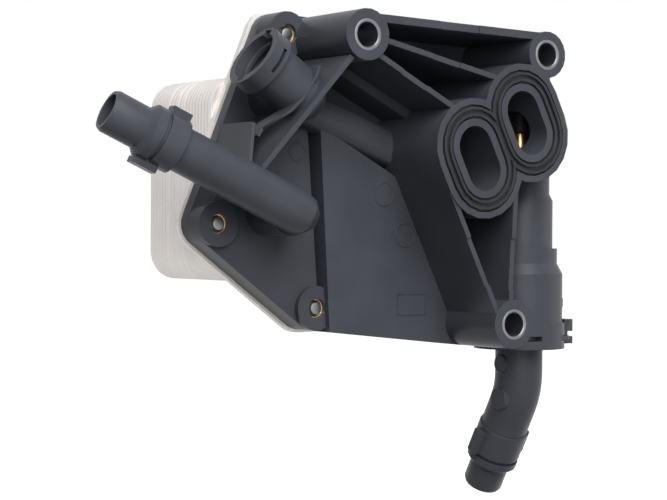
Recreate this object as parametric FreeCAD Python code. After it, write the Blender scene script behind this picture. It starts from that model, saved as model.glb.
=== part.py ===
import FreeCAD, Part
import math
import os

# Oil to water transmission cooler with its thermostat housing. The moulded housing bolts to a
# radiator by three sleeved bosses; an aluminium plate cooler is screwed to its back.
# Frame: origin at the front end of the upper left mounting sleeve, in the mounting face.
# +X runs right along the mounting face, +Y goes back towards the cooler, +Z is up along the
# thermostat tube. All sizes are millimetres. Plane points are (x, z).

V = FreeCAD.Vector

# Mounting bosses and their steel sleeves
SLEEVE_A = (0.0, 0.0)
SLEEVE_B = (99.5, -3.2)
SLEEVE_C = (81.2, -125.6)
SLEEVE_R = 7.0
SLEEVE_BORE_R = 5.35
SLEEVE_PROUD = 0.2
BOSS_R = 11.2
BOSS_B_R = 10.6

# Housing plate, raised panels and walls; the belt outline trims the panels
BACK_Y = 56.0
FLOOR_Y = 50.0
WALL = 3.0
LEFT_PANEL_Y = 43.0
MAIN_PANEL_Y = 37.0
PANEL_GAP = 1.2
RIB = 2.4
TOP_WALL = 3.5
RIB_FRONT_Y = 0.8
RIB_STEP = 0.7
PANEL_SPLIT_TOP = (-1.2, -39.5)
PANEL_SPLIT_LOW = (6.6, -140.0)
LEFT_PANEL_TOP = (-8.0, -12.0)
LEFT_PANEL_SIDE = (-58.0, -81.0)
LEFT_PANEL_LOW = (-60.0, -140.0)
MAIN_PANEL_TOP = (0.4, -37.5)
MAIN_PANEL_SIDE = (47.0, -62.0)
MAIN_PANEL_LOW = (82.0, -140.0)

# Ribs: both ends, then the two fractions of the run between which the front edge steps back
TOP_WALL_RUN = ((4.0, 7.6), (96.0, 5.0), (0.38, 0.62))
RIB_RUNS = [
    ((9.0, -1.6), (72.0, -15.2), (0.42, 0.66)),
    ((6.0, -8.0), (49.5, -30.5), (0.3, 0.6)),
    ((82.9, -58.0), (79.8, -116.0), (0.5, 0.9)),
]
PORT_RIB_LENGTH = 70.0
PORT_RIB_STEP = (0.42, 0.76)
DIAGONAL_RIB = ((-6.5, -9.6), (-41.0, -57.5))
DIAGONAL_FRONT_Y = 2.0
SMALL_RIB = ((-47.5, -57.0), (-42.0, -38.0))
SMALL_RIB_THICK = 1.6
BAR_RUN = ((3.0, -11.0), (45.0, -32.0))

# Cooler screws: bosses, brass inserts and screws
SCREW_POINTS = [(-15.0, 2.5), (-49.4, -81.3), (1.0, -118.5), (134.0, -118.0), (125.0, -64.3)]
SCREW_FACE_Y = 40.0
SCREW_BOSS_R = 10.0
INSERT_SINK = 1.0
INSERT_R = 4.5
INSERT_LENGTH = 9.0
SCREW_R = 3.0
SCREW_CLEARANCE = 0.04
SCREW_TIP_BACK = 0.6
SCREW_TIP_CHAMFER = 0.5
SCREW_HEAD_R = 5.0
SCREW_HEAD_HEIGHT = 3.4
SCREW_SIDES = 10

# Coolant ports that face the radiator
PORT_LEFT = (61.2, -51.4)
PORT_RIGHT = (88.1, -34.7)
PORT_TILT = 26.0
PORT_R = 9.0
PORT_CORE = 12.1
PORT_WALL = 3.4
PORT_GROOVE = 6.1
PORT_RIM = 2.9
PORT_GROOVE_DEPTH = 4.5
PORT_DEPTH = 44.0
GASKET_CLEARANCE = 0.2
GASKET_BASE = 3.4
GASKET_LIP_TOP = 0.4
GASKET_LIP = 1.3
GASKET_LIP_INSET = 0.7

# Channel inside the housing, and its legs to the cooler's two coolant holes
CHANNEL_Y = 42.0
CHANNEL_R = 8.5
CHANNEL_BORE_R = 5.8
CHANNEL_END = (56.0, -52.0)
LEG_R = 10.5
LEG_BORE_R = 6.5
UPPER_LEG = (-19.0, -25.0)
BAR_FRONT_Y = 30.0
BAR_WIDTH = 4.4
SEAL_GROOVE_R = 9.4
SEAL_CORD = 2.6

# Hose spigot at the left, and the nose that both spigots share
SPIGOT_Y = 18.0
SPIGOT_ROOT = (-24.0, -76.0)
SPIGOT_LENGTH = 95.0
SPIGOT_TILT = 25.8
SPIGOT_LEAN = 7.3
PIPE_R = 9.8
PIPE_BORE_R = 7.2
NOSE_R = 9.3
NOSE_LENGTH = 16.2
NOSE_CHAMFER = 1.6
FLARE_LENGTH = 2.8
RING_R = 12.2
RING_LENGTH = 7.6
NECK_GROOVE_R = 10.8
NECK_GROOVE_LENGTH = 1.7
COLLAR_R = 12.0
COLLAR_LENGTH = 9.2
LUG_LENGTH = 11.6
SPIGOT_UPPER_LUG = 9.0
SPIGOT_LUG_SHIFT = 7.0
LUG_WIDTH = 6.0
LUG_THICK = 1.4
LUG_STAND = 1.2

# Female quick connect socket at the upper left
SOCKET_MOUTH = (-42.4, -9.6)
SOCKET_Y = 24.0
SOCKET_TILT = 33.8
SOCKET_R = 14.6
SOCKET_LENGTH = 13.0
SOCKET_NECK_R = 11.8
SOCKET_BORE_R = 11.4
SOCKET_BORE_DEPTH = 12.0
SOCKET_SEAL_START = 13.5
SOCKET_SEAL_R = 9.4
SOCKET_SEAL_DEPTH = 20.0
SOCKET_SLOT = 2.6
SOCKET_SLOT_AT = 7.4
SOCKET_SLOT_WIDTH = 6.0
KEYWAY_WIDTH = 5.0
KEYWAY_DEPTH = 2.0
KEYWAY_LENGTH = 4.0

# Thermostat tube and chamber; the rises are measured up from the flange's upper face
FLANGE_Z = -126.7
TUBE_AXIS = (111.7, 34.0)
TUBE_TOP_Z = -9.5
TUBE_TOP_R = 13.9
TUBE_STEP_RISE = 60.7
TUBE_R = 15.5
TUBE_NECK_RISE = 56.2
TUBE_NECK_BORE_R = 9.0
TUBE_BORE_R = 12.6
DUCT_R = 9.0
DUCT_FRONT_Y = 14.0
TUBE_COLLAR_RISE = 35.1
TUBE_COLLAR_R = 17.7
TUBE_COLLAR_LENGTH = 7.1
CHAMBER_RISE = 23.2
CHAMBER_R = 20.3
CHAMBER_BORE_R = 17.0
FLANGE_R = 21.5
FLANGE_LENGTH = 12.0
CLIP_DROP = 6.9
CLIP_THICK = 2.0
CLIP_LEG = 2.8
CLIP_LEG_OFFSET = 14.6
CLIP_LEG_REACH = 11.2
CLIP_BOW = 2.0
CLIP_BOW_GAP = 0.2
CLIP_HEAD = 4.7
CLIP_HEAD_FRONT = 8.0
CLIP_HEAD_BACK = 5.4
CLIP_HEAD_TOP = 8.3
CLIP_HEAD_LOW = 3.3
CLIP_SLOT = 2.4
CLIP_SLOT_Z = 0.2
CLIP_NECK = 1.6
CLIP_CLEARANCE = 0.1
WINDOW_FROM = 11.7
WINDOW_LENGTH = 8.4

# Thermostat insert
SEAT_RISE = 28.7
SEAT_SEAL = 1.2
SEAT_THICK = 1.4
SEAT_HOLE_R = 8.4
VALVE_R = 10.2
VALVE_THICK = 1.4
CAPSULE_R = 5.6
CAPSULE_TOP_RISE = 55.7
CAPSULE_SHOULDER = 2.0
STEM_R = 3.0
STEM_TOP_Z = -37.0
CAGE_R = 12.3
CAGE_LEG = 1.0
CAGE_LEG_WIDTH = 6.0
CAGE_TOP_RISE = 52.7
CAGE_TOP = 1.4
SLIDE_CLEARANCE = 0.06
PISTON_R = 1.9
PISTON_DEPTH = 16.0
BRIDGE_DROP = 13.0
BRIDGE_THICK = 1.6
SPRING_R = 8.6
SPRING_WIRE = 1.4
SPRING_TURNS = 3.5
SPRING_STEPS = 10

# Outlet elbow, plugged into the chamber
PLUG_CLEARANCE = 0.1
PLUG_WALL = 2.6
PLUG_NECK_RISE = 7.7
ELBOW_SEAL_RISE = 4.2
ELBOW_SEAL_GROOVE = 3.4
ELBOW_SEAL = 2.6
ELBOW_R = 11.2
ELBOW_BORE_R = 8.6
ELBOW_DROP = 11.3
ELBOW_BEND_R = 30.0
ELBOW_BEND = 30.0
ELBOW_TAIL = 46.8
ELBOW_NOSE = 12.0
ELBOW_RING = 3.0
ELBOW_COLLAR = 13.8

# Aluminium plate cooler
BASE_THICK = 3.0
BASE_LUG_R = 9.4
BASE_SCALLOP_R = 10.2
BASE_RIGHT_STEP = 8.0
CORE_GAP_LEFT = 1.1
CORE_GAP_RIGHT = 3.3
CORE_BOTTOM = -106.5
CORE_HEIGHT = 90.5
CORE_CORNER = 13.0
CORNER_STEPS = 3
DISH_COUNT = 20
DISH_PITCH = 2.7
DISH_LIP = 0.6
END_PLATE = 2.5
END_PLATE_INSET = 1.5
COOLANT_HOLE_R = 6.5
OIL_PORT_R = 12.0
OIL_PORT_HEIGHT = 10.0
OIL_PORT_BORE_R = 6.0
OIL_HOLE_R = 5.5
OIL_PORT_INSET = 26.0

# Shared by all pieces: flat sides of round forms, steps of a quarter turn, and a cut's overrun.
# Only what mates with another product is left truly round.
TRUE_ROUND = 0
ROUND_SIDES = 20
HIDDEN_SIDES = 10
DOME_STEPS = 3
BEND_STEPS = 4
STADIUM_STEPS = 10
OVERCUT = 1.0


def at_y(point, y):
    """The 3D point of a plane point at depth y."""
    return V(point[0], y, point[1])


def skin(rings, split=False):
    """A solid over a closed row of rings with equally many points, some of which may coincide."""
    faces = []
    for last, ring in zip(rings[-1:] + rings[:-1], rings):
        for k in range(len(ring)):
            quad = [last[k - 1], last[k], ring[k], ring[k - 1]]
            for corners in (quad[:3], quad[2:] + quad[:1]) if split else (quad,):
                distinct = [c for j, c in enumerate(corners) if not c.isEqual(corners[j - 1], 1e-6)]
                if len(distinct) > 2:
                    faces.append(Part.Face(Part.makePolygon(distinct + distinct[:1])))
    solid = Part.Solid(Part.Shell(faces))
    if solid.Volume < 0:
        solid.reverse()
    return solid


def capped(rings, split=False):
    """A solid over an open row of rings, closed by a flat end at each side."""
    ends = [[sum(ring, V()) * (1 / len(ring))] * len(ring) for ring in (rings[0], rings[-1])]
    return skin(ends[:1] + rings + ends[1:], split)


def side_angles(sides):
    """Angles of the corners of a round form with flat sides."""
    return [2 * math.pi * (k + 0.5) / sides for k in range(sides)]


def turned(profile, base, direction, sides=ROUND_SIDES):
    """A closed profile of (radius, way along the direction) points, carried round that axis."""
    if sides == TRUE_ROUND:
        corners = [V(r, 0, s) for r, s in profile]
        solid = Part.Face(Part.makePolygon(corners + corners[:1])).revolve(V(), V(0, 0, 1), 360)
    else:
        angles = side_angles(sides)
        solid = skin([[V(r * math.cos(a), r * math.sin(a), s) for a in angles] for r, s in profile])
    solid.Placement = FreeCAD.Placement(base, FreeCAD.Rotation(V(0, 0, 1), direction))
    return solid


def pipe(start, end, radius, sides=ROUND_SIDES):
    """A plain round bar between two points."""
    length = (end - start).Length
    return turned([(0, 0), (radius, 0), (radius, length), (0, length)], start, end - start, sides)


def rod(point, radius, y0, y1, sides=ROUND_SIDES):
    """A plain round bar along Y."""
    return pipe(at_y(point, y0), at_y(point, y1), radius, sides)


def dome(radius):
    """Profile points of a rounded end, from its tip to its full radius at zero."""
    angles = [math.pi / 2 * k / DOME_STEPS for k in range(DOME_STEPS + 1)]
    return [(radius * math.sin(a), -radius * math.cos(a)) for a in angles]


def prism(points, y0, y1):
    """A straight prism along Y over a closed outline of plane points."""
    corners = [at_y(p, y0) for p in points]
    face = Part.Face(Part.makePolygon(corners + corners[:1]))
    return face.extrude(V(0, y1 - y0, 0))


def stadium(centre, radius, y0, y1):
    """A stadium prism whose long axis leans left of vertical by the ports' tilt."""
    lean = math.radians(PORT_TILT)
    points = []
    for turn, away in ((0, 1), (math.pi, -1)):
        x = centre[0] - math.sin(lean) * PORT_CORE / 2 * away
        z = centre[1] + math.cos(lean) * PORT_CORE / 2 * away
        for k in range(STADIUM_STEPS + 1):
            a = lean + turn + math.pi * k / STADIUM_STEPS
            points.append((x + radius * math.cos(a), z + radius * math.sin(a)))
    return prism(points, y0, y1)


def belt(discs, y0, y1):
    """A prism over the belt line round discs (x, z, r), given anticlockwise from the front."""
    tangents = []
    for i, (x0, z0, r0) in enumerate(discs):
        x1, z1, r1 = discs[(i + 1) % len(discs)]
        gap = math.hypot(x1 - x0, z1 - z0)
        tangents.append(math.atan2(z1 - z0, x1 - x0) - math.pi / 2 + math.asin((r1 - r0) / gap))
    full = 2 * math.pi
    points = []
    for i, (x, z, r) in enumerate(discs):
        a_in = tangents[i - 1]
        sweep = (tangents[i] - a_in) % full
        between = sorted((a - a_in) % full for a in side_angles(ROUND_SIDES))
        turns = [0] + [a for a in between if a < sweep] + [sweep]
        points += [(x + r * math.cos(a_in + a), z + r * math.sin(a_in + a)) for a in turns]
    return prism(points, y0, y1)


def fin(p0, p1, thick, front):
    """A rib from p0 to p1; front lists (fraction of the run, y of the front edge)."""
    back_y = FLOOR_Y + WALL / 2
    run = V(p1[0] - p0[0], 0, p1[1] - p0[1])
    side = V(run).cross(V(0, 1, 0)).normalize() * (thick / 2)
    outline = [at_y(p0, 0) - side + run * f + V(0, y, 0) for f, y in front]
    outline += [at_y(p0, back_y) - side + run, at_y(p0, back_y) - side]
    return Part.Face(Part.makePolygon(outline + outline[:1])).extrude(side * 2)


def stepped_front(steps):
    """Front edge of a rib with one shallow recessed stretch between two fractions."""
    low, high = steps
    top, deep = RIB_FRONT_Y, RIB_FRONT_Y + RIB_STEP
    return [(0, top), (low, top), (low, deep), (high, deep), (high, top), (1, top)]


def merge(shapes):
    """One solid of several that touch or overlap."""
    return shapes[0].multiFuse(shapes[1:]).removeSplitter()


def housing_discs(grow):
    """Belt discs of the housing plate, anticlockwise as seen from the front."""
    d, e, f, g, h = [(x, z, SCREW_BOSS_R + grow) for x, z in SCREW_POINTS]
    c = SLEEVE_C + (BOSS_R + grow,)
    b = SLEEVE_B + (BOSS_B_R + grow,)
    return [e, f, c, g, h, b, d]


def spigot_direction():
    """Unit vector out of the left spigot's mouth."""
    tilt, lean = math.radians(SPIGOT_TILT), math.radians(SPIGOT_LEAN)
    return V(-math.cos(tilt) * math.cos(lean), math.sin(lean), math.sin(tilt) * math.cos(lean))


def spigot_root():
    """Centre of the ball that closes the left spigot pipe."""
    return at_y(SPIGOT_ROOT, SPIGOT_Y)


def spigot_end(base, out, up, mouth_at, nose, ring, collar, lug_spans):
    """Collar, groove, ring, flare, truly round nose and two lugs; the collar starts the list."""
    nose_start = mouth_at - nose
    ring_end = nose_start - FLARE_LENGTH
    ring_start = ring_end - ring
    collar_end = ring_start - NECK_GROOVE_LENGTH
    rings = turned([
        (0, collar_end - collar),
        (COLLAR_R, collar_end - collar),
        (COLLAR_R, collar_end),
        (NECK_GROOVE_R, collar_end),
        (NECK_GROOVE_R, ring_start),
        (RING_R, ring_start),
        (RING_R, ring_end),
        (NOSE_R, nose_start),
        (0, nose_start),
    ], base, out)
    tip = turned([
        (0, nose_start),
        (NOSE_R, nose_start),
        (NOSE_R, mouth_at - NOSE_CHAMFER),
        (NOSE_R - NOSE_CHAMFER / 2, mouth_at),
        (0, mouth_at),
    ], base, out, TRUE_ROUND)
    pieces = [rings, tip]
    across = out.cross(up) * LUG_WIDTH
    for sign, (length, shift) in zip((1, -1), lug_spans):
        foot = up * (sign * (COLLAR_R - LUG_THICK))
        start = base + out * (collar_end + shift - length) - across / 2 + foot
        along = out * length
        face = Part.makePolygon([start, start + across, start + across + along, start + along, start])
        pieces.append(Part.Face(face).extrude(up * (sign * (LUG_THICK * 2 + LUG_STAND))))
    return pieces


def spigot_body():
    """Left spigot: pipe with ball end, leg to the cooler, and the spigot end."""
    root, out = spigot_root(), spigot_direction()
    up = (V(0, 0, 1) - out * out.z).normalize()
    spans = ((SPIGOT_UPPER_LUG, 0), (LUG_LENGTH, SPIGOT_LUG_SHIFT))
    end = spigot_end(root, out, up, SPIGOT_LENGTH, NOSE_LENGTH, RING_LENGTH, COLLAR_LENGTH, spans)
    reach = SPIGOT_LENGTH - NOSE_LENGTH - FLARE_LENGTH - RING_LENGTH - NECK_GROOVE_LENGTH
    body = turned(dome(PIPE_R) + [(PIPE_R, reach), (0, reach)], root, out)
    return [body, rod(SPIGOT_ROOT, LEG_R, SPIGOT_Y + PIPE_R / 2, BACK_Y)] + end


def spigot_bore():
    """Water way of the left spigot, from its mouth to the cooler."""
    root, out = spigot_root(), spigot_direction()
    way = pipe(root, root + out * (SPIGOT_LENGTH + OVERCUT), PIPE_BORE_R)
    return [way, rod(SPIGOT_ROOT, LEG_BORE_R, SPIGOT_Y, BACK_Y + OVERCUT, HIDDEN_SIDES)]


def socket_frame():
    """Mouth centre of the female socket and the unit vector into it."""
    tilt = math.radians(SOCKET_TILT)
    return at_y(SOCKET_MOUTH, SOCKET_Y), V(math.cos(tilt), 0, -math.sin(tilt))


def socket_body():
    """Female socket: collar, neck that runs to the upper leg, and that leg."""
    mouth, into = socket_frame()
    end = at_y(UPPER_LEG, SOCKET_Y)
    reach = (end - mouth).dot(into)
    neck = [(r, reach - s) for r, s in dome(SOCKET_NECK_R)]
    barrel = [(SOCKET_NECK_R, SOCKET_LENGTH), (SOCKET_R, SOCKET_LENGTH), (SOCKET_R, 0), (0, 0)]
    leg = rod(UPPER_LEG, LEG_R, SOCKET_Y, BACK_Y)
    return [turned(neck + barrel, mouth, into), leg]


def socket_bore():
    """Stepped bore, keyways and clip slots of the female socket."""
    mouth, into = socket_frame()
    reach = (at_y(UPPER_LEG, SOCKET_Y) - mouth).dot(into)
    bore = turned([
        (0, -OVERCUT),
        (SOCKET_BORE_R, -OVERCUT),
        (SOCKET_BORE_R, SOCKET_BORE_DEPTH),
        (SOCKET_SEAL_R, SOCKET_SEAL_START),
        (0, SOCKET_SEAL_START),
    ], mouth, into)
    seal_bore = pipe(mouth, mouth + into * SOCKET_SEAL_DEPTH, SOCKET_SEAL_R, TRUE_ROUND)
    throat = pipe(mouth, mouth + into * reach, LEG_BORE_R, HIDDEN_SIDES)
    leg = rod(UPPER_LEG, LEG_BORE_R, SOCKET_Y, BACK_Y + OVERCUT, HIDDEN_SIDES)
    cuts = [bore, seal_bore, throat, leg]
    across = V(0, 1, 0).cross(into)
    turn = FreeCAD.Rotation(across, V(0, 1, 0), into, "ZXY")
    keys = Part.makeBox(2 * (SOCKET_BORE_R + KEYWAY_DEPTH), KEYWAY_WIDTH, OVERCUT + KEYWAY_LENGTH)
    keys.translate(V(-SOCKET_BORE_R - KEYWAY_DEPTH, -KEYWAY_WIDTH / 2, -OVERCUT))
    slots = Part.makeBox(2 * SOCKET_SLOT_WIDTH, 4 * SOCKET_R, SOCKET_SLOT)
    slots.translate(V(-SOCKET_SLOT_WIDTH, -2 * SOCKET_R, SOCKET_SLOT_AT))
    for cut in (keys, slots):
        cut.Placement = FreeCAD.Placement(mouth, turn).multiply(cut.Placement)
        cuts.append(cut)
    return cuts


def ports(radius, y0, y1):
    """Stadium prisms of one radius at both ports, joined."""
    left, right = [stadium(c, radius, y0, y1) for c in (PORT_LEFT, PORT_RIGHT)]
    return left.fuse(right)


def port_outer():
    """Outer radius of the flange round a port."""
    return PORT_R + PORT_WALL + PORT_GROOVE + PORT_RIM


def port_body():
    """The two stadium flanges that face the radiator, down to the floor."""
    return [ports(port_outer(), 0, FLOOR_Y + WALL)]


def port_cuts():
    """Openings and gasket groove of the two ports."""
    groove_r = PORT_R + PORT_WALL + PORT_GROOVE
    wall_r = PORT_R + PORT_WALL
    groove = ports(groove_r, -OVERCUT, PORT_GROOVE_DEPTH)
    groove = groove.cut(ports(wall_r, -2 * OVERCUT, PORT_GROOVE_DEPTH + OVERCUT))
    left = stadium(PORT_LEFT, PORT_R, -OVERCUT, PORT_DEPTH)
    right = stadium(PORT_RIGHT, PORT_R, -OVERCUT, TUBE_AXIS[1])
    height = STEM_TOP_Z
    end = V(TUBE_AXIS[0], TUBE_AXIS[1], height)
    duct = pipe(V(PORT_RIGHT[0], DUCT_FRONT_Y, height), end, DUCT_R)
    return [groove, left, right, duct]


def at_tube(x, y, z):
    """The 3D point beside the thermostat axis."""
    return V(TUBE_AXIS[0] + x, TUBE_AXIS[1] + y, z)


def on_tube(profile, sides=ROUND_SIDES):
    """A turned piece on the thermostat axis; profile points are (radius, z)."""
    return turned(profile, V(TUBE_AXIS[0], TUBE_AXIS[1], 0), V(0, 0, 1), sides)


def flange_low():
    """Height of the clip flange's lower face."""
    return FLANGE_Z - FLANGE_LENGTH


def clip_z():
    """Height of the middle of the clip's legs."""
    return FLANGE_Z - CLIP_DROP


def tube_body():
    """Thermostat tube, chamber and clip flange, and the web that ties them to the plate."""
    x, y = TUBE_AXIS
    low = flange_low()
    step = TUBE_R - TUBE_TOP_R
    tube = on_tube([
        (0, TUBE_TOP_Z),
        (TUBE_TOP_R, TUBE_TOP_Z),
        (TUBE_TOP_R, FLANGE_Z + TUBE_STEP_RISE),
        (TUBE_R, FLANGE_Z + TUBE_STEP_RISE - 2 * step),
        (TUBE_R, FLANGE_Z + TUBE_COLLAR_RISE),
        (TUBE_COLLAR_R, FLANGE_Z + TUBE_COLLAR_RISE),
        (TUBE_COLLAR_R, FLANGE_Z + TUBE_COLLAR_RISE - TUBE_COLLAR_LENGTH),
        (CHAMBER_R, FLANGE_Z + CHAMBER_RISE),
        (CHAMBER_R, FLANGE_Z),
        (FLANGE_R, FLANGE_Z),
        (FLANGE_R, low),
        (0, low),
    ])
    depth = FLOOR_Y + WALL - y
    back = Part.makeBox(2 * TUBE_TOP_R, depth, TUBE_TOP_Z - FLANGE_Z, V(x - TUBE_TOP_R, y, FLANGE_Z))
    return [tube, back]


def clip_leg_sides():
    """Front face depth of each of the clip's two legs."""
    y = TUBE_AXIS[1]
    return y - CLIP_LEG_OFFSET - CLIP_LEG, y + CLIP_LEG_OFFSET


def tube_bore():
    """Bore of the tube and chamber, with the clip's tunnels and window."""
    x, y = TUBE_AXIS
    low = flange_low()
    bore = on_tube([
        (0, TUBE_TOP_Z - WALL),
        (TUBE_NECK_BORE_R, TUBE_TOP_Z - WALL),
        (TUBE_NECK_BORE_R, FLANGE_Z + TUBE_NECK_RISE),
        (TUBE_BORE_R, FLANGE_Z + TUBE_NECK_RISE),
        (TUBE_BORE_R, FLANGE_Z + SEAT_RISE),
        (CHAMBER_BORE_R, FLANGE_Z + SEAT_RISE),
        (CHAMBER_BORE_R, low - OVERCUT),
        (0, low - OVERCUT),
    ])
    cuts = [bore]
    high = CLIP_THICK + 2 * CLIP_CLEARANCE
    wide = CLIP_LEG + 2 * CLIP_CLEARANCE
    base = clip_z() - high / 2
    for y0 in clip_leg_sides():
        corner = V(x - WINDOW_FROM, y0 - CLIP_CLEARANCE, base)
        cuts.append(Part.makeBox(WINDOW_FROM + FLANGE_R + OVERCUT, wide, high, corner))
    corner = V(x - WINDOW_FROM, y - FLANGE_R - OVERCUT, base)
    cuts.append(Part.makeBox(WINDOW_LENGTH, FLANGE_R - CLIP_LEG_OFFSET + OVERCUT, high, corner))
    return cuts


def panel_outlines():
    """Plane outlines of the left and main raised panels; the housing plate trims them."""
    split_low = (PANEL_SPLIT_LOW[0] - PANEL_GAP, PANEL_SPLIT_LOW[1])
    split_top = (PANEL_SPLIT_TOP[0] - PANEL_GAP, PANEL_SPLIT_TOP[1])
    left = [LEFT_PANEL_TOP, LEFT_PANEL_SIDE, LEFT_PANEL_LOW, split_low, split_top]
    main = [MAIN_PANEL_TOP, PANEL_SPLIT_LOW, MAIN_PANEL_LOW, MAIN_PANEL_SIDE]
    return left, main


def plate_body():
    """The plate with its raised panels, hollow from behind."""
    left, main = panel_outlines()
    outline = belt(housing_discs(0), FLOOR_Y, BACK_Y)
    deep = belt(housing_discs(0), MAIN_PANEL_Y - OVERCUT, BACK_Y)
    inner = belt(housing_discs(-WALL), MAIN_PANEL_Y, BACK_Y + OVERCUT)
    solids = [outline]
    hollows = [belt(housing_discs(-WALL), FLOOR_Y + WALL, BACK_Y + OVERCUT)]
    for points, top in ((left, LEFT_PANEL_Y), (main, MAIN_PANEL_Y)):
        solids.append(prism(points, top, BACK_Y).common(deep))
        corners = [at_y(p, top + WALL) for p in points + points[:1]]
        small = Part.Face(Part.makePolygon(corners)).makeOffset2D(-WALL)
        hollows.append(small.extrude(V(0, BACK_Y + OVERCUT - top - WALL, 0)).common(inner))
    return solids, hollows


def beside_port(along):
    """Plane point on the line of the left port's left side, the given way down its long axis."""
    lean = math.radians(PORT_TILT)
    offset = port_outer() - RIB / 2
    x = PORT_LEFT[0] - offset * math.cos(lean) + along * math.sin(lean)
    z = PORT_LEFT[1] - offset * math.sin(lean) - along * math.cos(lean)
    return x, z


def rib_solids():
    """The walls and ribs between the bosses, the ports and the spigot."""
    runs = RIB_RUNS + [(beside_port(0), beside_port(PORT_RIB_LENGTH), PORT_RIB_STEP)]
    ribs = [fin(p0, p1, RIB, stepped_front(steps)) for p0, p1, steps in runs]
    p0, p1, steps = TOP_WALL_RUN
    ribs.append(fin(p0, p1, TOP_WALL, stepped_front(steps)))
    ribs.append(fin(*DIAGONAL_RIB, RIB, [(0, DIAGONAL_FRONT_Y), (1, SPIGOT_Y)]))
    ribs.append(fin(*SMALL_RIB, SMALL_RIB_THICK, [(0, SPIGOT_Y), (1, SOCKET_Y)]))
    ribs.append(fin(*BAR_RUN, BAR_WIDTH, [(0, BAR_FRONT_Y), (1, BAR_FRONT_Y)]))
    return ribs


def housing():
    """The moulded housing as one solid."""
    solids, hollows = plate_body()
    bosses = [(SLEEVE_A, BOSS_R), (SLEEVE_B, BOSS_B_R), (SLEEVE_C, BOSS_R)]
    barrels = [rod(p, radius, 0, BACK_Y) for p, radius in bosses]
    posts = [rod(p, SCREW_BOSS_R, SCREW_FACE_Y, BACK_Y) for p in SCREW_POINTS]
    start, end = at_y(UPPER_LEG, CHANNEL_Y), at_y(CHANNEL_END, CHANNEL_Y)
    shell = merge(solids)
    for hollow in hollows:
        shell = shell.cut(hollow)
    forms = barrels + posts + rib_solids() + port_body() + tube_body() + spigot_body() + socket_body()
    body = merge([shell, pipe(start, end, CHANNEL_R)] + forms)
    cuts = port_cuts() + tube_bore() + spigot_bore() + socket_bore()
    cuts.append(pipe(start, end, CHANNEL_BORE_R, HIDDEN_SIDES))
    cuts += [rod(p, SLEEVE_R, -OVERCUT, BACK_Y + OVERCUT) for p in (SLEEVE_A, SLEEVE_B, SLEEVE_C)]
    cuts += [rod(p, INSERT_R, SCREW_FACE_Y - OVERCUT, BACK_Y + OVERCUT, SCREW_SIDES) for p in SCREW_POINTS]
    for point in (SPIGOT_ROOT, UPPER_LEG):
        cuts.append(rod(point, SEAL_GROOVE_R, BACK_Y - SEAL_CORD, BACK_Y + OVERCUT, HIDDEN_SIDES))
    return body.cut(Part.Compound(cuts)).removeSplitter()


def sleeves():
    """Steel mounting sleeves, one pressed into each mounting boss."""
    tubes = []
    for point in (SLEEVE_A, SLEEVE_B, SLEEVE_C):
        bore = rod(point, SLEEVE_BORE_R, -OVERCUT, BACK_Y + OVERCUT, TRUE_ROUND)
        tubes.append(rod(point, SLEEVE_R, -SLEEVE_PROUD, BACK_Y).cut(bore))
    return Part.Compound(tubes)


def inserts():
    """Brass inserts, one in each screw boss."""
    bore = SCREW_R + SCREW_CLEARANCE
    profile = [(bore, 0), (INSERT_R, 0), (INSERT_R, INSERT_LENGTH), (bore, INSERT_LENGTH)]
    y = SCREW_FACE_Y + INSERT_SINK
    return Part.Compound([turned(profile, at_y(p, y), V(0, 1, 0), SCREW_SIDES) for p in SCREW_POINTS])


def screws():
    """Cooler screws, their heads on the cooler's base plate and their tips at the boss faces."""
    head_y = BACK_Y + BASE_THICK
    tip = SCREW_FACE_Y + SCREW_TIP_BACK - head_y
    profile = [
        (0, tip),
        (SCREW_R - SCREW_TIP_CHAMFER, tip),
        (SCREW_R, tip + SCREW_TIP_CHAMFER),
        (SCREW_R, 0),
        (SCREW_HEAD_R, 0),
        (SCREW_HEAD_R, SCREW_HEAD_HEIGHT),
        (0, SCREW_HEAD_HEIGHT),
    ]
    return Part.Compound([turned(profile, at_y(p, head_y), V(0, 1, 0), SCREW_SIDES) for p in SCREW_POINTS])


def port_gasket():
    """One rubber gasket round both ports, with two sealing lips round each."""
    outer = PORT_R + PORT_WALL + PORT_GROOVE - GASKET_CLEARANCE
    inner = PORT_R + PORT_WALL + GASKET_CLEARANCE
    low = PORT_GROOVE_DEPTH - GASKET_BASE
    base = ports(outer, low, PORT_GROOVE_DEPTH)
    out_lip = ports(outer - GASKET_LIP_INSET, -GASKET_LIP_TOP, low)
    lip_inside = ports(outer - GASKET_LIP_INSET - GASKET_LIP, -OVERCUT, low + OVERCUT)
    out_lip = out_lip.cut(lip_inside)
    start = inner + GASKET_LIP_INSET
    rings = []
    for c in (PORT_LEFT, PORT_RIGHT):
        ring = stadium(c, start + GASKET_LIP, -GASKET_LIP_TOP, low)
        rings.append(ring.cut(stadium(c, start, -OVERCUT, low + OVERCUT)))
    whole = base.multiFuse([out_lip] + rings)
    inside = ports(inner, -2 * OVERCUT, PORT_GROOVE_DEPTH + OVERCUT)
    return whole.cut(inside).removeSplitter()


def coolant_seal(point):
    """A square rubber ring between the housing and the cooler's base plate."""
    inner = SEAL_GROOVE_R - SEAL_CORD
    profile = [(inner, 0), (SEAL_GROOVE_R, 0), (SEAL_GROOVE_R, SEAL_CORD), (inner, SEAL_CORD)]
    return turned(profile, at_y(point, BACK_Y - SEAL_CORD), V(0, 1, 0), HIDDEN_SIDES)


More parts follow.
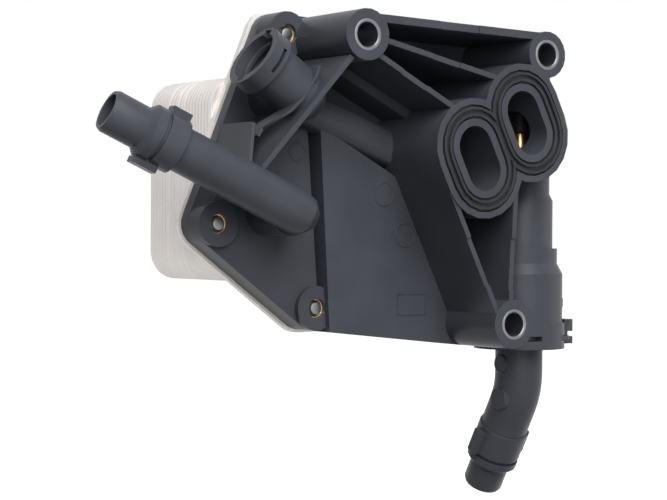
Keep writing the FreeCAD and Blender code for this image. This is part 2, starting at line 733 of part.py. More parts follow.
def base_plate():
    """The cooler's aluminium base plate, with its screw lugs and coolant holes."""
    d, e, f, g, h = [(x, z, BASE_LUG_R) for x, z in SCREW_POINTS]
    right = (h[0] - BASE_RIGHT_STEP, SLEEVE_B[1] - 2 * BOSS_R, BASE_LUG_R)
    plate = belt([e, f, g, h, right, d], BACK_Y, BACK_Y + BASE_THICK)
    holes = [(p, BASE_SCALLOP_R, ROUND_SIDES) for p in (SLEEVE_A, SLEEVE_B, SLEEVE_C)]
    holes += [(p, SCREW_R + SCREW_CLEARANCE, SCREW_SIDES) for p in SCREW_POINTS]
    holes += [(p, COOLANT_HOLE_R, HIDDEN_SIDES) for p in (SPIGOT_ROOT, UPPER_LEG)]
    low, high = BACK_Y - OVERCUT, BACK_Y + BASE_THICK + OVERCUT
    return plate.cut(Part.Compound([rod(p, radius, low, high, sides) for p, radius, sides in holes]))


def core_sides():
    """Left and right side of the core, clear of the screw heads beside it."""
    left = SCREW_POINTS[1][0] + SCREW_HEAD_R + CORE_GAP_LEFT
    right = SCREW_POINTS[4][0] - SCREW_HEAD_R - CORE_GAP_RIGHT
    return left, right


def core_outline(inset, y):
    """The core's rounded outline at one depth, as a closed wire."""
    left, right = core_sides()
    r = CORE_CORNER
    centres = [(right - r, CORE_BOTTOM + CORE_HEIGHT - r), (left + r, CORE_BOTTOM + CORE_HEIGHT - r)]
    centres += [(left + r, CORE_BOTTOM + r), (right - r, CORE_BOTTOM + r)]
    corners = []
    for quarter, (x, z) in enumerate(centres):
        for k in range(CORNER_STEPS + 1):
            a = math.pi / 2 * (quarter + k / CORNER_STEPS)
            corners.append(V(x + (r - inset) * math.cos(a), y, z + (r - inset) * math.sin(a)))
    return Part.makePolygon(corners + corners[:1])


def oil_points():
    """Plane points of the two oil ports on the end plate."""
    left, right = core_sides()
    mid = CORE_BOTTOM + CORE_HEIGHT / 2
    return (left + OIL_PORT_INSET, mid), (right - OIL_PORT_INSET, mid)


def plate_stack():
    """The brazed stack of dished plates; each dish flares to the lip that laps the next one."""
    front = BACK_Y + BASE_THICK
    dishes = []
    for i in range(DISH_COUNT):
        y = front + i * DISH_PITCH
        wires = [core_outline(DISH_LIP, y), core_outline(0, y + DISH_PITCH)]
        dishes.append(Part.makeLoft(wires, True, True))
    back = front + DISH_COUNT * DISH_PITCH
    ways = [(p, COOLANT_HOLE_R, front - OVERCUT, back - DISH_PITCH) for p in (SPIGOT_ROOT, UPPER_LEG)]
    ways += [(p, OIL_HOLE_R, front + DISH_PITCH, back + OVERCUT) for p in oil_points()]
    return merge(dishes).cut(Part.Compound([rod(*way, HIDDEN_SIDES) for way in ways]))


def end_plate():
    """The thick plate that closes the back of the stack."""
    y = BACK_Y + BASE_THICK + DISH_COUNT * DISH_PITCH
    plate = Part.Face(core_outline(END_PLATE_INSET, y)).extrude(V(0, END_PLATE, 0))
    holes = [rod(p, OIL_HOLE_R, y - OVERCUT, y + END_PLATE + OVERCUT, HIDDEN_SIDES) for p in oil_points()]
    return plate.cut(Part.Compound(holes))


def oil_ports():
    """Two turned aluminium oil ports on the end plate."""
    low = BACK_Y + BASE_THICK + DISH_COUNT * DISH_PITCH + END_PLATE
    high = low + OIL_PORT_HEIGHT
    turned_ports = []
    for point in oil_points():
        bore = rod(point, OIL_PORT_BORE_R, low - OVERCUT, high + OVERCUT, TRUE_ROUND)
        turned_ports.append(rod(point, OIL_PORT_R, low, high).cut(bore))
    return Part.Compound(turned_ports)


def seat_top():
    """Height of the thermostat flange's upper face."""
    return FLANGE_Z + SEAT_RISE - SEAT_SEAL


def thermostat_seal():
    """Flat rubber ring between the tube's shoulder and the thermostat flange."""
    return tube_ring(TUBE_BORE_R, CHAMBER_BORE_R - PLUG_CLEARANCE, seat_top(), seat_top() + SEAT_SEAL)


def tube_ring(inner, outer, low, high, sides=ROUND_SIDES):
    """A plain ring on the thermostat axis."""
    return on_tube([(inner, low), (outer, low), (outer, high), (inner, high)], sides)


def thermostat_cage():
    """Pressed seat flange with the spring cage above and the piston bridge below."""
    x, y = TUBE_AXIS
    top = seat_top()
    half = CAGE_LEG_WIDTH / 2
    crown_low = FLANGE_Z + CAGE_TOP_RISE
    crown_top = crown_low + CAGE_TOP
    flange = tube_ring(SEAT_HOLE_R, CHAMBER_BORE_R - PLUG_CLEARANCE, top - SEAT_THICK, top)
    legs = tube_ring(CAGE_R - CAGE_LEG, CAGE_R, top, crown_top)
    hole = CAPSULE_R + SLIDE_CLEARANCE
    crown = tube_ring(hole, CAGE_R, crown_low, crown_top, HIDDEN_SIDES)
    strip = Part.makeBox(CAGE_LEG_WIDTH, 2 * CAGE_R, crown_top - top, V(x - half, y - CAGE_R, top))
    disc = tube_ring(hole, CAGE_R - 2 * CAGE_LEG, crown_low, crown_top, HIDDEN_SIDES)
    low = top - SEAT_THICK - BRIDGE_DROP
    arm = SEAT_HOLE_R + BRIDGE_THICK
    height = BRIDGE_DROP + SEAT_THICK / 2
    bridge = Part.makeBox(2 * arm, CAGE_LEG_WIDTH, height, V(x - arm, y - half, low))
    hollow = V(x - arm + BRIDGE_THICK, y - half - OVERCUT, low + BRIDGE_THICK)
    bridge = bridge.cut(Part.makeBox(2 * (arm - BRIDGE_THICK), CAGE_LEG_WIDTH + 2 * OVERCUT, height, hollow))
    pin = pipe(V(x, y, low - OVERCUT), V(x, y, low + BRIDGE_THICK + OVERCUT), PISTON_R, HIDDEN_SIDES)
    cage = flange.multiFuse([legs.common(strip), crown.common(strip), disc, bridge])
    return cage.cut(pin).removeSplitter()


def thermostat_piston():
    """Steel piston held in the bridge; the capsule climbs it as the wax swells."""
    low = seat_top() - SEAT_THICK - BRIDGE_DROP
    high = seat_top() + PISTON_DEPTH - SLIDE_CLEARANCE
    return on_tube([(0, low), (PISTON_R, low), (PISTON_R, high), (0, high)], HIDDEN_SIDES)


def thermostat_capsule():
    """Brass wax capsule with its long stem, and the bore for the piston."""
    base = seat_top()
    bore = PISTON_R + SLIDE_CLEARANCE
    return on_tube([
        (bore, base),
        (CAPSULE_R, base),
        (CAPSULE_R, FLANGE_Z + CAPSULE_TOP_RISE),
        (STEM_R, FLANGE_Z + CAPSULE_TOP_RISE + CAPSULE_SHOULDER),
        (STEM_R, STEM_TOP_Z),
        (0, STEM_TOP_Z),
        (0, base + PISTON_DEPTH),
        (bore, base + PISTON_DEPTH),
    ], HIDDEN_SIDES)


def valve_disc():
    """Valve disc pressed on the capsule; it closes the hole in the seat flange."""
    base = seat_top()
    return tube_ring(CAPSULE_R, VALVE_R, base, base + VALVE_THICK, HIDDEN_SIDES)


def spring():
    """Closing spring of square wire between the valve disc and the cage's crown."""
    inner, outer = SPRING_R - SPRING_WIRE / 2, SPRING_R + SPRING_WIRE / 2
    low = seat_top() + VALVE_THICK
    high = FLANGE_Z + CAGE_TOP_RISE - SPRING_WIRE
    count = round(SPRING_TURNS * SPRING_STEPS)
    rings = []
    for k in range(count + 1):
        a = 2 * math.pi * k / SPRING_STEPS
        z = low + (high - low) * k / count
        corners = [(inner, z), (outer, z), (outer, z + SPRING_WIRE), (inner, z + SPRING_WIRE)]
        rings.append([at_tube(r * math.cos(a), r * math.sin(a), h) for r, h in corners])
    return capped(rings, split=True)


def elbow_path():
    """Start, middle line crossing, end and outward direction of the elbow's bend."""
    turn = math.radians(ELBOW_BEND)
    start = at_tube(0, 0, flange_low() - ELBOW_DROP)
    end = start + V(0, ELBOW_BEND_R * (1 - math.cos(turn)), -ELBOW_BEND_R * math.sin(turn))
    crossing = start - V(0, 0, ELBOW_BEND_R * math.tan(turn / 2))
    return start, crossing, end, V(0, math.sin(turn), -math.cos(turn))


def bend_body(reach):
    """The elbow's pipe from the flange through the bend, and on by the given distance."""
    start, _, _, out = elbow_path()
    hub = start + V(0, ELBOW_BEND_R, 0)
    rings = []
    for k in range(BEND_STEPS + 1):
        turn = math.radians(ELBOW_BEND) * k / BEND_STEPS
        arm = V(0, -math.cos(turn), -math.sin(turn))
        centre = hub + arm * ELBOW_BEND_R
        rings.append([
            centre + V(ELBOW_R * math.cos(a), 0, 0) + arm * (ELBOW_R * math.sin(a))
            for a in side_angles(ROUND_SIDES)
        ])
    stub = [p + V(0, 0, ELBOW_DROP + WALL) for p in rings[0]]
    tail = [p + out * reach for p in rings[-1]]
    return capped([stub] + rings + [tail])


def plug_profile():
    """Outline of the elbow's plug, with grooves for its seal and for the clip's legs."""
    plug_r = CHAMBER_BORE_R - PLUG_CLEARANCE
    top = seat_top() - SEAT_THICK
    seal_r = CHAMBER_BORE_R - ELBOW_SEAL
    seal_z = FLANGE_Z + ELBOW_SEAL_RISE
    clip_r = CLIP_LEG_OFFSET - CLIP_CLEARANCE
    clip_half = CLIP_THICK / 2 + 2 * CLIP_CLEARANCE
    return [
        (0, top),
        (plug_r, top),
        (plug_r, seal_z + ELBOW_SEAL_GROOVE / 2),
        (seal_r, seal_z + ELBOW_SEAL_GROOVE / 2),
        (seal_r, seal_z - ELBOW_SEAL_GROOVE / 2),
        (plug_r, seal_z - ELBOW_SEAL_GROOVE / 2),
        (plug_r, clip_z() + clip_half),
        (clip_r, clip_z() + clip_half),
        (clip_r, clip_z() - clip_half),
        (plug_r, clip_z() - clip_half),
        (plug_r, flange_low()),
        (0, flange_low()),
    ]


def outlet_elbow():
    """Outlet pipe: plug with seal and clip grooves, bend, and spigot end."""
    _, crossing, end, out = elbow_path()
    spans = ((LUG_LENGTH, 0), (LUG_LENGTH, 0))
    tail = spigot_end(end, out, V(1, 0, 0), ELBOW_TAIL, ELBOW_NOSE, ELBOW_RING, ELBOW_COLLAR, spans)
    reach = ELBOW_TAIL - ELBOW_NOSE - FLARE_LENGTH - ELBOW_RING - NECK_GROOVE_LENGTH
    body = merge([on_tube(plug_profile()), bend_body(reach)] + tail)
    top = seat_top() - SEAT_THICK
    wide = CHAMBER_BORE_R - PLUG_CLEARANCE - ELBOW_SEAL - PLUG_WALL
    neck = FLANGE_Z + PLUG_NECK_RISE
    throat = on_tube([
        (0, top + OVERCUT),
        (wide, top + OVERCUT),
        (wide, neck),
        (ELBOW_BORE_R, neck - PLUG_WALL),
        (ELBOW_BORE_R, crossing.z),
        (0, crossing.z),
    ])
    mouth = end + out * (ELBOW_TAIL + OVERCUT)
    return body.cut(Part.Compound([throat, pipe(crossing, mouth, PIPE_BORE_R)]))


def elbow_seal():
    """Square rubber ring in the elbow's plug."""
    low = FLANGE_Z + ELBOW_SEAL_RISE - ELBOW_SEAL / 2
    return tube_ring(CHAMBER_BORE_R - ELBOW_SEAL, CHAMBER_BORE_R, low, low + ELBOW_SEAL)


def elbow_clip():
    """Fork clip: two legs in the plug's groove, a bow round the flange and a head to pull."""
    x, y = TUBE_AXIS
    inner = FLANGE_R + CLIP_BOW_GAP
    outer = inner + CLIP_BOW
    half = CLIP_THICK / 2
    edge = CLIP_LEG_OFFSET + CLIP_LEG
    run = math.sqrt(outer ** 2 - edge ** 2) - CLIP_CLEARANCE
    pieces = []
    for y0 in clip_leg_sides():
        corner = V(x - CLIP_LEG_REACH, y0, clip_z() - half)
        pieces.append(Part.makeBox(CLIP_LEG_REACH + run, CLIP_LEG, CLIP_THICK, corner))
    ring = tube_ring(inner, outer, clip_z() - half, clip_z() + half)
    right = Part.makeBox(outer, 2 * edge, CLIP_THICK, V(x + run - CLIP_BOW, y - edge, clip_z() - half))
    pieces.append(ring.common(right))
    depth = CLIP_HEAD_FRONT + CLIP_HEAD_BACK
    corner = V(x + inner, y - CLIP_HEAD_FRONT, clip_z() - CLIP_HEAD_LOW)
    head = Part.makeBox(CLIP_HEAD, depth, CLIP_HEAD_LOW + CLIP_HEAD_TOP, corner)
    corner = V(x + inner + CLIP_NECK, y - CLIP_HEAD_FRONT - OVERCUT, clip_z() + CLIP_SLOT_Z)
    pieces.append(head.cut(Part.makeBox(CLIP_HEAD, depth + 2 * OVERCUT, CLIP_SLOT, corner)))
    return merge(pieces)


def build():
    """All nodes by name."""
    nodes = {
        "housing": housing(),
        "mount_sleeves": sleeves(),
        "brass_inserts": inserts(),
        "cooler_screws": screws(),
        "port_gasket": port_gasket(),
        "coolant_seal_lower": coolant_seal(SPIGOT_ROOT),
        "coolant_seal_upper": coolant_seal(UPPER_LEG),
        "cooler_base_plate": base_plate(),
        "cooler_plate_stack": plate_stack(),
        "cooler_end_plate": end_plate(),
        "oil_ports": oil_ports(),
        "thermostat_seal": thermostat_seal(),
        "thermostat_cage": thermostat_cage(),
        "thermostat_piston": thermostat_piston(),
        "thermostat_capsule": thermostat_capsule(),
        "thermostat_valve_disc": valve_disc(),
        "thermostat_spring": spring(),
        "outlet_elbow": outlet_elbow(),
        "elbow_seal": elbow_seal(),
        "elbow_clip": elbow_clip(),
    }
    return nodes


def main():
    """Write one STEP file for each node."""
    os.makedirs("parts", exist_ok=True)
    for name, shape in build().items():
        print(name, len(shape.Solids), shape.isValid(), round(shape.Volume, 1))
        shape.exportStep("parts/" + name + ".step")


main()
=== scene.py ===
"""Dress the transmission oil cooler: finer pieces, finishes, studio and camera."""
import logging
import math
from dataclasses import dataclass
from enum import Enum
from typing import Any, Iterable, Sequence

import bmesh
import bpy
from mathutils import Matrix, Vector


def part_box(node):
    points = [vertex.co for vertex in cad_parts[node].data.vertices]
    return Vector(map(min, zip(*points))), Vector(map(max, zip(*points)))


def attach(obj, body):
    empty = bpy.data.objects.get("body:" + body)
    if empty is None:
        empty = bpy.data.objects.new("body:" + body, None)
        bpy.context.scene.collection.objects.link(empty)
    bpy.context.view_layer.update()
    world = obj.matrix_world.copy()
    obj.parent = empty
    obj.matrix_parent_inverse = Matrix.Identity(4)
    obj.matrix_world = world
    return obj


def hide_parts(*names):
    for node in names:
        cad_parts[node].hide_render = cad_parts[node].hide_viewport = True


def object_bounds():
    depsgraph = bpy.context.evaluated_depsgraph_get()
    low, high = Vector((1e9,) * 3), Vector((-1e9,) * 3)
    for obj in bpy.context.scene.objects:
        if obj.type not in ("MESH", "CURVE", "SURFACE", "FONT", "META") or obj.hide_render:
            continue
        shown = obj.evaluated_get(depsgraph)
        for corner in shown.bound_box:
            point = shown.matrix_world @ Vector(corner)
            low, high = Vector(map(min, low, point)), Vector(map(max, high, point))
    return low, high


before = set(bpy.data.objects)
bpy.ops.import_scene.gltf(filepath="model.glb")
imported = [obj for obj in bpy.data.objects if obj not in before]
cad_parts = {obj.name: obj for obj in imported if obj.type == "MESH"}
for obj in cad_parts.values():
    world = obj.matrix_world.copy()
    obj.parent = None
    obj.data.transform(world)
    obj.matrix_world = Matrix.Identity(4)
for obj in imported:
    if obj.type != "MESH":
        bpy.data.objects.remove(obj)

MM = 0.001
CAD_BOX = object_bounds()
log = logging.getLogger("oil_cooler")

Point = tuple[float, float, float]
Profile = Sequence[tuple[float, float]]
Colour = tuple[float, float, float]

# Points nearer to each other than this, in metres, are one point.
MERGE = 1e-6
# Steps of a full turn, where a piece states none of its own.
TURN_STEPS = 64
# Angles in degrees: an edge stays sharp, triangles make one flat face, an edge gets a bevel.
SHARP = 28.0
FLAT = 1.0
BEVEL_FROM = 40.0
# Direction from the mounting face towards the plate cooler.
BACK: Point = (0.0, 1.0, 0.0)
WHITE = (1.0, 1.0, 1.0, 1.0)
# X and Z of the cooler screws, in millimetres; the first three sit on lugs at the left.
SCREW_POINTS = ((-15.0, 2.5), (-49.4, -81.3), (1.0, -118.5), (134.0, -118.0), (125.0, -64.3))


class Slot(Enum):
    """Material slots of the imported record."""

    BLACK_PLASTIC = "black_plastic"
    CLIP_PLASTIC = "clip_plastic"
    RUBBER = "rubber"
    ZINC_STEEL = "zinc_steel"
    PRESSED_STEEL = "pressed_steel"
    BRASS = "brass"
    ALUMINIUM = "cooler_aluminium"


class Body(Enum):
    """Bodies that pieces ride on."""

    ASSEMBLY = "cooler_assembly"
    THERMOSTAT = "thermostat"
    CLIP = "clip"


class Value:
    """A socket that carries a number, with arithmetic that adds Math nodes."""

    def __init__(self, graph: "Graph", socket: bpy.types.NodeSocket) -> None:
        """Keep the graph and the socket.

        Args:
            graph: The graph that new nodes go to.
            socket: The output socket to wrap.
        """
        self.graph = graph
        self.socket = socket

    def _math(self, operation: str, first: Any, second: Any) -> "Value":
        """Join two operands with a Math node.

        Args:
            operation: Name of the Math operation.
            first: Left operand.
            second: Right operand.

        Returns:
            The result as a new value.
        """
        return self.graph.value("ShaderNodeMath", {"operation": operation}, {0: first, 1: second})

    def __add__(self, other: Any) -> "Value":
        """Return self + other."""
        return self._math("ADD", self, other)

    __radd__ = __add__

    def __mul__(self, other: Any) -> "Value":
        """Return self * other."""
        return self._math("MULTIPLY", self, other)

    __rmul__ = __mul__

    def __sub__(self, other: Any) -> "Value":
        """Return self - other."""
        return self._math("SUBTRACT", self, other)

    def __rsub__(self, other: Any) -> "Value":
        """Return other - self."""
        return self._math("SUBTRACT", other, self)


class Graph:
    """A node tree with one way of adding nodes."""

    def __init__(self, tree: bpy.types.NodeTree) -> None:
        """Empty the tree.

        Args:
            tree: The material's or world's node tree.
        """
        self.tree = tree
        tree.nodes.clear()

    def node(self, kind: str, settings: dict[str, Any], sockets: dict[Any, Any]) -> bpy.types.Node:
        """Add a node.

        Args:
            kind: The node's type name.
            settings: Properties that are set first.
            sockets: Values or links of its input sockets.

        Returns:
            The new node.
        """
        made = self.tree.nodes.new(kind)
        for name, setting in settings.items():
            setattr(made, name, setting)
        for name, value in sockets.items():
            if isinstance(value, Value):
                value = value.socket
            if isinstance(value, bpy.types.NodeSocket):
                self.tree.links.new(value, made.inputs[name])
            else:
                made.inputs[name].default_value = value
        return made

    def value(self, kind: str, settings: dict[str, Any], sockets: dict[Any, Any], out: Any = 0) -> Value:
        """Add a node and wrap one of its outputs.

        Args:
            kind: The node's type name.
            settings: Properties that are set first.
            sockets: Values or links of its input sockets.
            out: Name or number of the output.

        Returns:
            The output as a value.
        """
        return Value(self, self.node(kind, settings, sockets).outputs[out])

    def place(self, scale: Point = (1.0, 1.0, 1.0)) -> bpy.types.NodeSocket:
        """Object coordinates, stretched.

        Args:
            scale: Factor for each axis.

        Returns:
            The vector socket.
        """
        coords = self.node("ShaderNodeTexCoord", {}, {})
        mapping = self.node("ShaderNodeMapping", {}, {"Vector": coords.outputs["Object"], "Scale": scale})
        return mapping.outputs["Vector"]

    def noise(self, scale: float, detail: float = 3.0, stretch: Point = (1.0, 1.0, 1.0)) -> Value:
        """Noise from 0 to 1 on object coordinates.

        Args:
            scale: Features per metre.
            detail: Octaves.
            stretch: Factor for each axis.

        Returns:
            The noise as a value.
        """
        sockets = {"Vector": self.place(stretch), "Scale": scale, "Detail": detail}
        return self.value("ShaderNodeTexNoise", {}, sockets, "Fac")

    def sharpen(self, signal: Value, low: float, high: float) -> Value:
        """Stretch a signal so that low becomes 0 and high becomes 1.

        Args:
            signal: The signal.
            low: Level that becomes 0.
            high: Level that becomes 1.

        Returns:
            The clamped signal.
        """
        return self.value("ShaderNodeMapRange", {"clamp": True}, {"Value": signal, 1: low, 2: high})

    def mix(self, factor: Value, first: Any, second: Any) -> bpy.types.NodeSocket:
        """Mix two colours.

        Args:
            factor: 0 gives the first colour, 1 the second.
            first: Colour or socket.
            second: Colour or socket.

        Returns:
            The colour socket.
        """
        sockets = {0: factor, 6: rgba(first), 7: rgba(second)}
        return self.node("ShaderNodeMix", {"data_type": "RGBA"}, sockets).outputs[2]

    def bump(self, height: Value, depth_mm: float, strength: float = 1.0, round_mm: float = 0.0) -> Any:
        """Bump on top of edges that catch the light as if rounded.

        Args:
            height: Signal from 0 to 1.
            depth_mm: Height of the relief in millimetres.
            strength: How much of the bump shows.
            round_mm: Radius of the rounded look of edges, 0 for none.

        Returns:
            The normal socket.
        """
        sockets = {"Height": height, "Distance": depth_mm * MM, "Strength": strength}
        if round_mm:
            edge = self.node("ShaderNodeBevel", {"samples": 4}, {"Radius": round_mm * MM})
            sockets["Normal"] = edge.outputs["Normal"]
        return self.node("ShaderNodeBump", {}, sockets).outputs["Normal"]


def rgba(colour: Any) -> Any:
    """Add the fourth number to a colour; sockets pass through.

    Args:
        colour: Three numbers or a socket.

    Returns:
        Four numbers or the socket.
    """
    return (*colour, 1.0) if isinstance(colour, tuple) else colour


def verts_of(made: dict[str, Any]) -> list[bmesh.types.BMVert]:
    """The vertices among what an operator made.

    Args:
        made: What the operator returned.

    Returns:
        Its vertices.
    """
    return [item for item in made["geom"] if isinstance(item, bmesh.types.BMVert)]


def to_metres(bm: bmesh.types.BMesh) -> None:
    """Scale a mesh from millimetres to metres.

    Args:
        bm: The mesh.
    """
    bmesh.ops.scale(bm, vec=(MM, MM, MM), verts=bm.verts)


def add_upright_rectangle(bm: bmesh.types.BMesh, width: float, height: float) -> None:
    """Add a rectangle that stands in the XZ plane about the origin.

    Args:
        bm: The empty mesh to add to.
        width: Side along X.
        height: Side along Z.
    """
    bmesh.ops.create_grid(bm, x_segments=1, y_segments=1, size=0.5)
    bmesh.ops.rotate(bm, matrix=Matrix.Rotation(math.radians(90.0), 3, "X"), verts=bm.verts)
    bmesh.ops.scale(bm, vec=(width, 1.0, height), verts=bm.verts)


@dataclass(frozen=True)
class Finish:
    """A surface finish; subclasses add their own detail."""

    name: str
    colour: Colour
    roughness: float
    metallic: float = 0.0
    specular: float = 0.5

    def build(self) -> bpy.types.Material:
        """Make the material.

        Returns:
            The finished material.
        """
        material = bpy.data.materials.new(self.name)
        material.use_nodes = True
        material.diffuse_color = rgba(self.colour)
        graph = Graph(material.node_tree)
        shader = graph.node("ShaderNodeBsdfPrincipled", {}, {
            "Base Color": rgba(self.colour),
            "Roughness": self.roughness,
            "Metallic": self.metallic,
            "Specular IOR Level": self.specular,
        })
        self.detail(graph, shader)
        out = graph.node("ShaderNodeOutputMaterial", {}, {})
        graph.tree.links.new(shader.outputs[0], out.inputs[0])
        return material

    def feed(self, graph: Graph, shader: bpy.types.Node, colour: Any, roughness: Value, normal: Any) -> None:
        """Link the varying signals to the shader.

        Args:
            graph: The material's graph.
            shader: Its surface shader.
            colour: Colour socket.
            roughness: Roughness value.
            normal: Normal socket.
        """
        links = graph.tree.links
        links.new(colour, shader.inputs["Base Color"])
        links.new(roughness.socket, shader.inputs["Roughness"])
        links.new(normal, shader.inputs["Normal"])

    def tinted(self, factor: float) -> Colour:
        """The finish's colour made lighter or darker.

        Args:
            factor: What each channel is multiplied by.

        Returns:
            The new colour.
        """
        red, green, blue = (min(1.0, channel * factor) for channel in self.colour)
        return red, green, blue

    def detail(self, graph: Graph, shader: bpy.types.Node) -> None:
        """Add what varies over the surface.

        Args:
            graph: The material's graph.
            shader: Its surface shader.
        """
        raise NotImplementedError


@dataclass(frozen=True)
class MouldedPlastic(Finish):
    """Glass-filled plastic with a fine spark-eroded grain and faint flow clouds."""

    grain_mm: float = 0.03
    round_mm: float = 0.45

    def detail(self, graph: Graph, shader: bpy.types.Node) -> None:
        """Cloudy colour, uneven gloss and a fine grain.

        Args:
            graph: The material's graph.
            shader: Its surface shader.
        """
        clouds = graph.sharpen(graph.noise(scale=38.0, detail=4.0), low=0.3, high=0.7)
        grain = graph.noise(scale=2600.0, detail=2.0)
        fibres = graph.noise(scale=900.0, detail=3.0, stretch=(1.0, 1.0, 0.35))
        colour = graph.mix(clouds * 0.7 + fibres * 0.3, self.tinted(0.82), self.tinted(1.2))
        roughness = self.roughness - 0.05 + clouds * 0.06 + grain * 0.05
        normal = graph.bump(grain * 0.7 + fibres * 0.3, self.grain_mm, strength=0.5, round_mm=self.round_mm)
        self.feed(graph, shader, colour, roughness, normal)


@dataclass(frozen=True)
class MouldedRubber(Finish):
    """Matt rubber with a fine bloom."""

    def detail(self, graph: Graph, shader: bpy.types.Node) -> None:
        """Patchy bloom and a soft grain.

        Args:
            graph: The material's graph.
            shader: Its surface shader.
        """
        bloom = graph.sharpen(graph.noise(scale=160.0, detail=5.0), low=0.42, high=0.75)
        grain = graph.noise(scale=1800.0, detail=2.0)
        colour = graph.mix(bloom * 0.5, self.colour, self.tinted(1.7))
        roughness = self.roughness + bloom * 0.1 - grain * 0.06
        normal = graph.bump(grain, depth_mm=0.02, strength=0.4, round_mm=0.3)
        self.feed(graph, shader, colour, roughness, normal)


@dataclass(frozen=True)
class WorkedMetal(Finish):
    """Turned or plated metal with fine lines along one axis and dull patches."""

    line_stretch: Point = (1.0, 1.0, 1.0)
    line_scale: float = 900.0
    patch_scale: float = 90.0
    patch_dark: float = 0.86
    round_mm: float = 0.2

    def detail(self, graph: Graph, shader: bpy.types.Node) -> None:
        """Tool lines, dull patches and softened edges.

        Args:
            graph: The material's graph.
            shader: Its surface shader.
        """
        lines = graph.noise(self.line_scale, detail=2.0, stretch=self.line_stretch)
        patches = graph.sharpen(graph.noise(self.patch_scale, detail=4.0), low=0.35, high=0.7)
        colour = graph.mix(patches, self.tinted(self.patch_dark), self.tinted(1.04))
        roughness = self.roughness + lines * 0.12 - patches * 0.05
        normal = graph.bump(lines, depth_mm=0.012, strength=0.5, round_mm=self.round_mm)
        self.feed(graph, shader, colour, roughness, normal)


@dataclass(frozen=True)
class BrazedAluminium(Finish):
    """Brazed sheet: satin, with cloudy flux marks and faint drawn lines."""

    def detail(self, graph: Graph, shader: bpy.types.Node) -> None:
        """Flux clouds, drawn lines and a soft orange peel.

        Args:
            graph: The material's graph.
            shader: Its surface shader.
        """
        clouds = graph.sharpen(graph.noise(scale=26.0, detail=5.0), low=0.32, high=0.68)
        lines = graph.noise(scale=420.0, detail=2.0, stretch=(1.0, 1.0, 0.06))
        specks = graph.sharpen(graph.noise(scale=700.0, detail=2.0), low=0.66, high=0.74)
        base = graph.mix(clouds, self.tinted(0.93), self.tinted(1.05))
        colour = graph.mix(specks * 0.35, base, self.tinted(0.72))
        roughness = self.roughness + clouds * 0.06 + lines * 0.08 - 0.05
        height = lines * 0.4 + graph.noise(scale=240.0, detail=3.0) * 0.6
        normal = graph.bump(height, depth_mm=0.04, strength=0.45, round_mm=0.25)
        self.feed(graph, shader, colour, roughness, normal)


